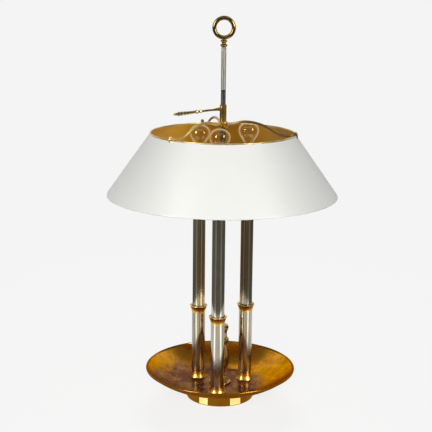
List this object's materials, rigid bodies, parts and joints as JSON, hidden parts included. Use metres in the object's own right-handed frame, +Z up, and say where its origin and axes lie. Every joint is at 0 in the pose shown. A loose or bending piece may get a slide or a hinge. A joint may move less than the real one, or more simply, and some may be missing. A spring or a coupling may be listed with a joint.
{
  "type": "bouillotte lamp",
  "caption": "Bouillotte table lamp: brass dish foot, nickel candle tubes with clear bulbs, and a white cone shade that slides and turns on a ringed rod with an arrow key.",
  "frame": {"origin": "centre of the felt's underside, on the surface the lamp stands on", "axes": "+Z up along the rod, -Y towards the front tube's side"},
  "size_m": [0.4499, 0.45, 0.7607],
  "materials": {
    "felt": "green felt",
    "cover_steel": "black painted steel",
    "iron": "raw casting",
    "foot_brass": "polished brass",
    "dish_brass": "polished brass with brown and purple patina",
    "black_plastic": "black moulding",
    "cream_plastic": "cream moulding",
    "zinc_steel": "zinc plated steel",
    "cable_sheath": "brown cable sheath",
    "baluster_brass": "aged brass",
    "dark_steel": "darkened steel",
    "nickel_rod": "worn nickel plate",
    "finial_brass": "aged brass",
    "collar_brass": "polished brass",
    "nickel_tube": "tarnished nickel plate",
    "contact_brass": "bright brass",
    "cap_aluminium": "bright",
    "bulb_glass": "clear",
    "slider_brass": "aged brass",
    "shade_paint": "white lacquer outside, gold lacquer inside",
    "rim_brass": "polished brass"
  },
  "bodies": {
    "base": {"felt_pad": "felt", "base_cover": "cover_steel", "ballast": "iron", "foot_ring": "foot_brass", "dish": "dish_brass", "cord_bushing": "black_plastic", "terminal_block": "cream_plastic", "rod_nut": "zinc_steel", "ballast_nut": "zinc_steel", "tube_nuts": "zinc_steel", "tube_washers": "zinc_steel", "lead_wires": "cable_sheath", "baluster_foot": "baluster_brass", "baluster_body": "baluster_brass", "baluster_cap": "baluster_brass", "rod_lower": "dark_steel", "rod_upper": "nickel_rod", "rod_stud": "zinc_steel", "ring_neck": "finial_brass", "carry_ring": "finial_brass", "support_pipe_1": "zinc_steel", "support_pipe_2": "zinc_steel", "support_pipe_3": "zinc_steel", "foot_flare_1": "collar_brass", "foot_flare_2": "collar_brass", "foot_flare_3": "collar_brass", "lower_tube_1": "nickel_tube", "lower_tube_2": "nickel_tube", "lower_tube_3": "nickel_tube", "mid_collar_1": "collar_brass", "mid_collar_2": "collar_brass", "mid_collar_3": "collar_brass", "upper_tube_1": "nickel_tube", "upper_tube_2": "nickel_tube", "upper_tube_3": "nickel_tube", "lampholder_1": "cream_plastic", "lampholder_2": "cream_plastic", "lampholder_3": "cream_plastic", "socket_shell_1": "contact_brass", "socket_shell_2": "contact_brass", "socket_shell_3": "contact_brass", "socket_contacts": "contact_brass", "bulb_cap_1": "cap_aluminium", "bulb_cap_2": "cap_aluminium", "bulb_cap_3": "cap_aluminium", "bulb_glass_1": "bulb_glass", "bulb_glass_2": "bulb_glass", "bulb_glass_3": "bulb_glass", "bulb_mounts": "bulb_glass"},
    "slider": {"slider_sleeve": "slider_brass"},
    "key": {"arrow_key": "slider_brass"},
    "shade": {"spider_hub": "slider_brass", "spider_arm_1": "slider_brass", "spider_arm_2": "slider_brass", "spider_arm_3": "slider_brass", "shade_shell": "shade_paint", "shade_rim": "rim_brass"}
  },
  "joints": [
    {"name": "shade_slide", "type": "slide", "parent": "base", "child": "slider", "axis": [0, 0, 1], "range_m": [0, 0.1]},
    {"name": "shade_swivel", "type": "hinge", "parent": "slider", "child": "shade", "pos_m": [0, 0, 0.556], "axis": [0, 0, 1], "continuous": true},
    {"name": "key_turn", "type": "hinge", "parent": "slider", "child": "key", "pos_m": [0, 0, 0.5848], "axis": [-0.6947, -0.7193, 0], "range_deg": [0, 360]}
  ]
}
